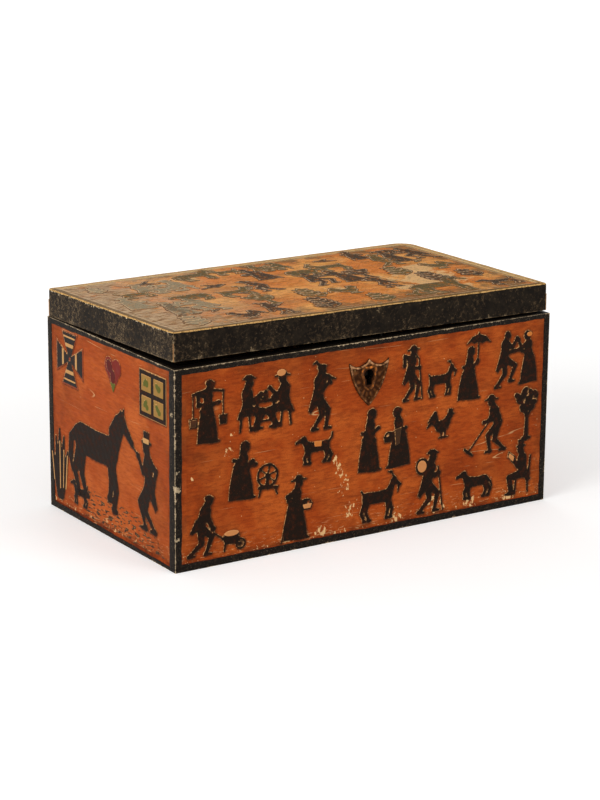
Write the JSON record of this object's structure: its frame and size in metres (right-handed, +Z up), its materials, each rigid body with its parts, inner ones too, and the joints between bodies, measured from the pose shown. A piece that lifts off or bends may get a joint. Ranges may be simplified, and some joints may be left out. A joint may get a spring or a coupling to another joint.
{
  "type": "decoupage box",
  "caption": "Painted wooden box with a hinged tray lid standing slightly ajar, cut-paper decoration, shield keyhole plate and a box lock with a sliding bolt.",
  "frame": {"origin": "centre of the underside of the bottom board", "axes": "+X along the front to the right as seen from the front, +Y from front to back, +Z up"},
  "size_m": [0.3204, 0.189, 0.1663],
  "materials": {
    "painted_front": "burnt orange paint on softwood, worn and varnished",
    "painted_back": "burnt orange paint on softwood, worn and varnished",
    "painted_ends": "burnt orange paint on softwood, worn and varnished",
    "bare_pine": "bare softwood, darkened with age",
    "varnished_lid": "painted softwood under yellowed varnish",
    "black_rail": "black paint rubbed to grey brown",
    "black_paper": "black paper, varnished, worn at the edges",
    "aged_brass": "tarnished sheet brass",
    "pressed_brass": "pressed brass, dark in the hollows",
    "dark_iron": "dull dark iron",
    "lock_steel": "filed iron, grey"
  },
  "bodies": {
    "box": {"front_board": "painted_front", "back_board": "painted_back", "left_end_board": "painted_ends", "right_end_board": "painted_ends", "bottom_board": "bare_pine", "bottom_nails": "dark_iron", "front_bands": "black_paper", "back_bands": "black_paper", "left_bands": "black_paper", "right_bands": "black_paper", "left_hinge_body_leaf": "aged_brass", "left_hinge_pin": "dark_iron", "right_hinge_body_leaf": "aged_brass", "right_hinge_pin": "dark_iron", "body_leaf_screws": "dark_iron", "lock_plate": "aged_brass", "lock_case": "aged_brass", "guide_studs": "lock_steel", "key_pin": "lock_steel", "key_ward": "aged_brass", "bolt_spring": "lock_steel", "lock_screws": "dark_iron", "escutcheon": "pressed_brass", "escutcheon_pins": "pressed_brass"},
    "lid": {"lid_board": "varnished_lid", "lid_front_rail": "black_rail", "lid_back_rail": "black_rail", "lid_left_rail": "black_rail", "lid_right_rail": "black_rail", "lid_side_paper": "black_paper", "left_hinge_lid_leaf": "aged_brass", "right_hinge_lid_leaf": "aged_brass", "lid_leaf_screws": "dark_iron", "link_plate": "aged_brass", "link_staples": "lock_steel", "link_screws": "dark_iron"},
    "bolt": {"lock_bolt": "lock_steel"}
  },
  "joints": [
    {"name": "lid_hinge", "type": "hinge", "parent": "box", "child": "lid", "pos_m": [0, 0.094, 0.1441], "axis": [-1, 0, 0], "range_deg": [-0.5, 180]},
    {"name": "bolt_slide", "type": "slide", "parent": "box", "child": "bolt", "axis": [1, 0, 0], "range_m": [0, 0.0045]}
  ]
}
